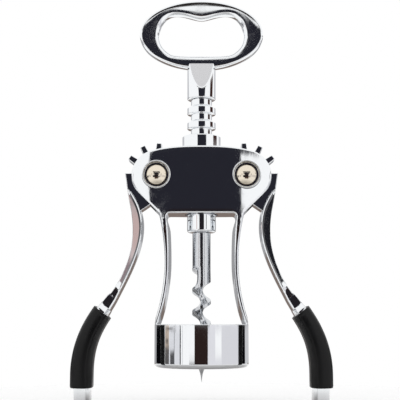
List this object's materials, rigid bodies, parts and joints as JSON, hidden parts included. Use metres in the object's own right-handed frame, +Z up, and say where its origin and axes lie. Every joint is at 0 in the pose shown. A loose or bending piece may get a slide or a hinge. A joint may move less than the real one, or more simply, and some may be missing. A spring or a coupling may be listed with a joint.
{
  "type": "wing corkscrew",
  "caption": "Chrome wing corkscrew: a bell frame, two toothed levers with rubber grips, and a worm that turns in a sliding rack sleeve under an opener handle.",
  "frame": {"origin": "on the tool's axis, in the plane of the bell's lower rim, where the tool sits on a bottle", "axes": "+Z up along the worm's axis to the handle, X across the two levers with the left lever at -X, -Y the front"},
  "size_m": [0.1106, 0.04, 0.1771],
  "materials": {
    "chrome_casting": "polished chrome plate on a zinc die casting",
    "cup_chrome": "polished chrome plate on pressed steel",
    "nickel_rivet": "polished nickel plate, slightly warm",
    "worm_steel": "nickel plate over ground steel",
    "pin_steel": "ground steel",
    "grip_rubber": "satin moulded rubber"
  },
  "bodies": {
    "frame": {"frame": "chrome_casting", "left_pivot_pin": "nickel_rivet", "right_pivot_pin": "nickel_rivet", "left_front_cup": "cup_chrome", "right_front_cup": "cup_chrome", "left_rear_cup": "cup_chrome", "right_rear_cup": "cup_chrome", "left_rear_cap": "nickel_rivet", "right_rear_cap": "nickel_rivet"},
    "left_wing": {"left_lever": "chrome_casting", "left_grip": "grip_rubber"},
    "right_wing": {"right_lever": "chrome_casting", "right_grip": "grip_rubber"},
    "rack": {"rack_sleeve": "chrome_casting"},
    "spindle": {"handle": "chrome_casting", "handle_pin": "pin_steel", "worm": "worm_steel"}
  },
  "joints": [
    {"name": "left_lever_pivot", "type": "hinge", "parent": "frame", "child": "left_wing", "pos_m": [-0.0193, 0, 0.0815], "axis": [0, 1, 0], "range_deg": [-12, 122]},
    {"name": "right_lever_pivot", "type": "hinge", "parent": "frame", "child": "right_wing", "pos_m": [0.0193, 0, 0.0815], "axis": [0, -1, 0], "range_deg": [-12.5, 122.5]},
    {"name": "rack_slide", "type": "slide", "parent": "frame", "child": "rack", "axis": [0, 0, -1], "range_m": [-0.0028, 0.0275]},
    {"name": "spindle_turn", "type": "hinge", "parent": "rack", "child": "spindle", "pos_m": [0, 0, 0.12], "axis": [0, 0, 1], "continuous": true}
  ],
  "couplings": [
    {"joint": "right_lever_pivot", "follows": "left_lever_pivot", "ratio": 1},
    {"joint": "rack_slide", "follows": "left_lever_pivot", "m_per_rad": 0.01276}
  ]
}
